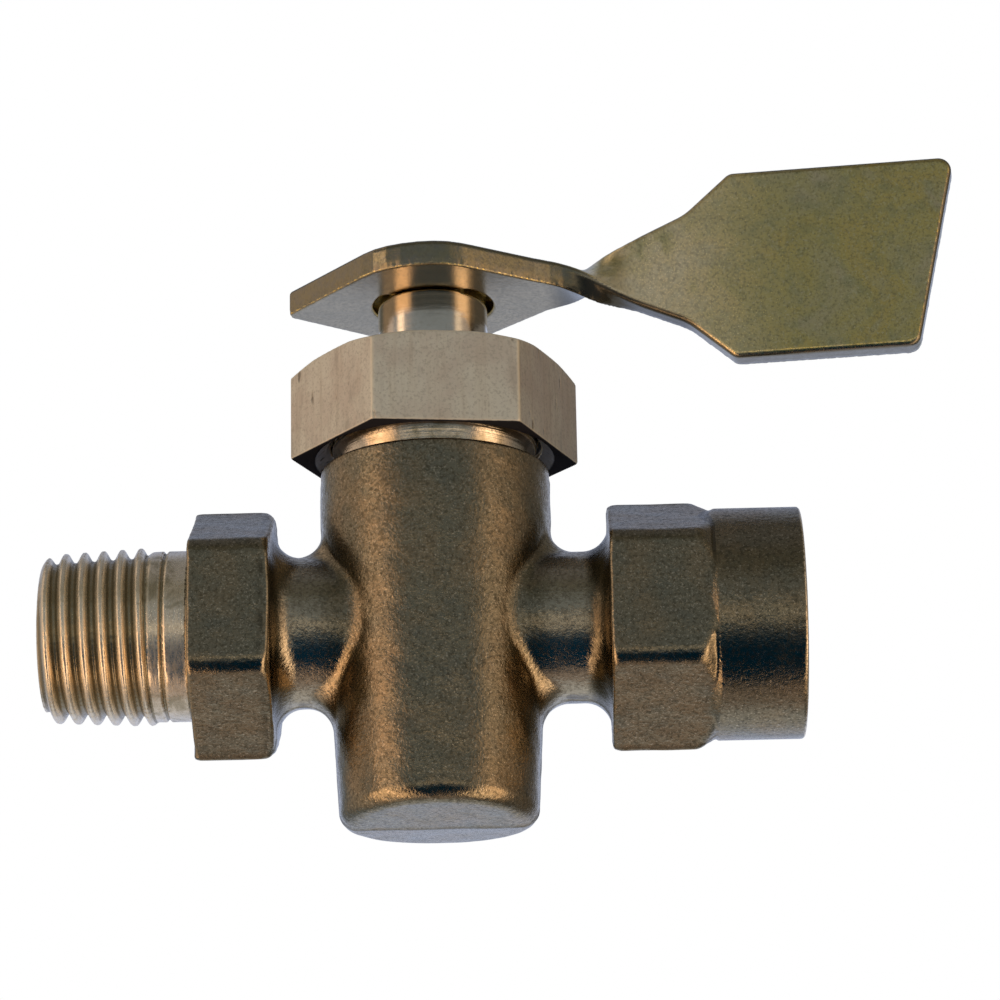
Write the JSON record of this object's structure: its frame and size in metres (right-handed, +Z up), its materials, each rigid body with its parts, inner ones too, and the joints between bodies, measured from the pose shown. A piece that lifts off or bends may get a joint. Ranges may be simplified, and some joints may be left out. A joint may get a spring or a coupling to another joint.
{
  "type": "quarter-turn plug valve",
  "caption": "Small brass quarter-turn plug valve with a male and a female pipe-thread end, hex bonnet nut and a twisted steel lever.",
  "frame": {"origin": "middle of the narrow flat under the valve body, on the stem axis; the pipe axis is 15.3 mm above it", "axes": "+X along the pipe axis from the male end to the female end, +Y across the pipe, away from the side the lever's paddle faces, +Z up the stem"},
  "size_m": [0.0697, 0.0202, 0.0504],
  "materials": {
    "forged_brass": "forged, tumbled and slightly aged",
    "machined_brass": "machined, satin",
    "plug_brass": "turned, smooth",
    "zinc_steel": "yellow chromate over zinc plating",
    "spring_steel": "drawn wire",
    "washer_brass": "stamped sheet",
    "white_plastic": "low-friction plastic",
    "black_rubber": "nitrile, greased"
  },
  "bodies": {
    "body": {"valve_body": "forged_brass", "bonnet_nut": "machined_brass", "upper_spring_washer": "washer_brass", "stem_oring": "black_rubber", "plug_spring": "spring_steel"},
    "floating_washers": {"lower_spring_washer": "washer_brass", "slip_washer": "white_plastic"},
    "plug": {"tapered_plug": "plug_brass", "lever_handle": "zinc_steel"}
  },
  "joints": [
    {"name": "plug_lift", "type": "slide", "parent": "body", "child": "floating_washers", "axis": [0, 0, 1], "range_m": [0, 0.0004], "stiffness_N_per_m": 9000, "deforming": ["plug_spring"]},
    {"name": "plug_turn", "type": "hinge", "parent": "floating_washers", "child": "plug", "pos_m": [0, 0, 0.0153], "axis": [0, 0, 1], "continuous": true}
  ]
}
